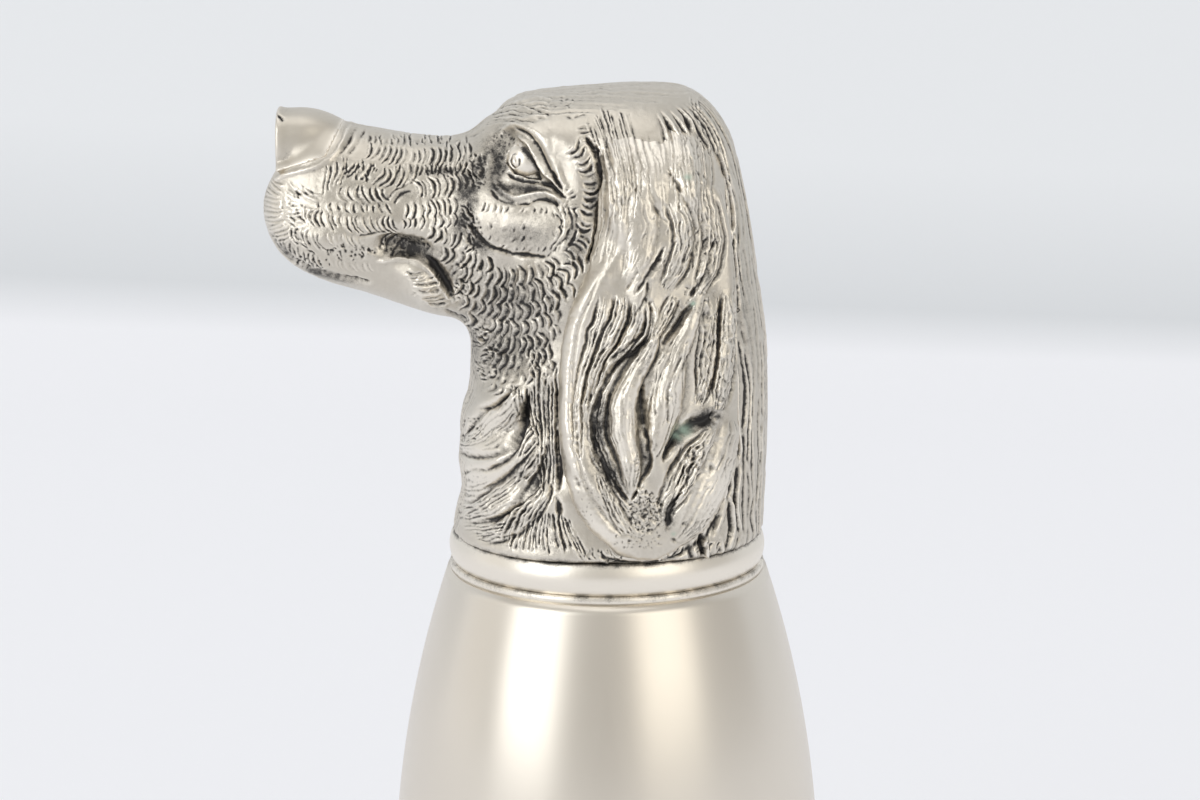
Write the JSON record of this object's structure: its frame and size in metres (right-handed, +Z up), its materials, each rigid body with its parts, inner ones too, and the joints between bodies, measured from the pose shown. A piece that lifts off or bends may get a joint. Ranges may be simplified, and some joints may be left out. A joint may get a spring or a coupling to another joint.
{
  "type": "stirrup cup",
  "caption": "Silver-plated stirrup cup: a tapering cup that stands on its mouth, its closed end carrying a collar and a long-eared gun dog's head.",
  "frame": {"origin": "centre of the cup's mouth, in the plane of the rim that it stands on", "axes": "+Z up along the cup's axis to the dog's head; -X is the way the muzzle points; the head is alike on both sides of y = 0"},
  "size_m": [0.0804, 0.0644, 0.1416],
  "materials": {
    "satin_silver": "satin",
    "bright_silver": "polished",
    "antique_silver": "satin"
  },
  "bodies": {
    "root": {"cup_shell": "satin_silver", "rim_wire": "bright_silver", "collar_step": "bright_silver", "collar_band": "bright_silver", "head_left": "antique_silver", "head_right": "antique_silver", "nose_plug": "bright_silver", "eye_left": "bright_silver", "eye_right": "bright_silver", "ear_left": "antique_silver", "ear_right": "antique_silver"}
  },
  "joints": []
}
